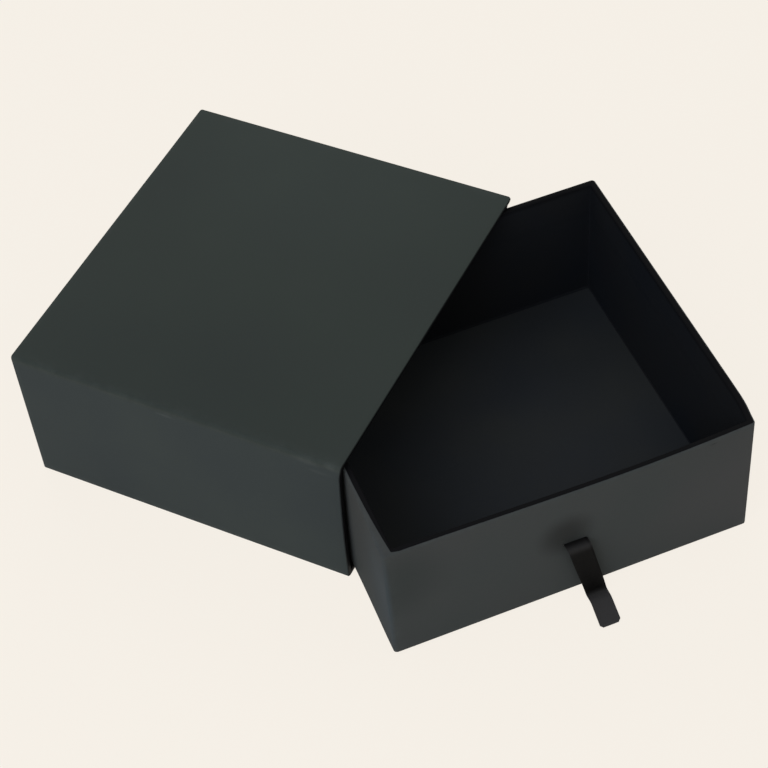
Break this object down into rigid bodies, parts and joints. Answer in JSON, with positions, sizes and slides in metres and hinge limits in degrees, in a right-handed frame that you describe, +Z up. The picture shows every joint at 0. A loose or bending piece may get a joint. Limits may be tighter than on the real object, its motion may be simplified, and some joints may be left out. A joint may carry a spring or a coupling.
{
  "type": "sliding drawer gift box",
  "caption": "Rigid board sleeve with one open end and a wrapped, lined tray that slides into it, pulled by a short ribbon through its front.",
  "frame": {"origin": "middle of the sleeve's base, on the surface that the box stands on", "axes": "+X to the right seen from the sleeve's mouth, +Y from the mouth to the sleeve's back, +Z up"},
  "size_m": [0.2389, 0.3226, 0.082],
  "materials": {
    "greyboard": "matte",
    "stay_tape": "matte",
    "wrap_paper": "matte",
    "cover_paper": "matte",
    "lining_paper": "matte",
    "ribbon": "satin"
  },
  "bodies": {
    "sleeve": {"sleeve_top_board": "greyboard", "sleeve_base_board": "greyboard", "sleeve_left_board": "greyboard", "sleeve_right_board": "greyboard", "sleeve_back_board": "greyboard", "sleeve_fold_tapes": "stay_tape", "sleeve_back_tapes": "stay_tape", "sleeve_wrap": "wrap_paper", "sleeve_back_sheet": "cover_paper", "sleeve_base_sheet": "cover_paper", "sleeve_lining": "lining_paper"},
    "tray": {"tray_floor_board": "greyboard", "tray_front_board": "greyboard", "tray_back_board": "greyboard", "tray_left_board": "greyboard", "tray_right_board": "greyboard", "tray_corner_stays": "stay_tape", "tray_wrap": "wrap_paper", "tray_base_sheet": "cover_paper", "tray_wall_lining": "lining_paper", "tray_floor_lining": "lining_paper", "ribbon_anchor": "ribbon", "anchor_patch": "lining_paper"},
    "pull": {"ribbon_tail": "ribbon"}
  },
  "joints": [
    {"name": "drawer_slide", "type": "slide", "parent": "sleeve", "child": "tray", "axis": [0, -1, 0], "range_m": [0, 0.11]},
    {"name": "ribbon_lift", "type": "hinge", "parent": "tray", "child": "pull", "pos_m": [-0.0547, -0.18017, 0.03848], "axis": [-0.742, 0.6703, 0.0121], "range_deg": [0, 35]}
  ]
}
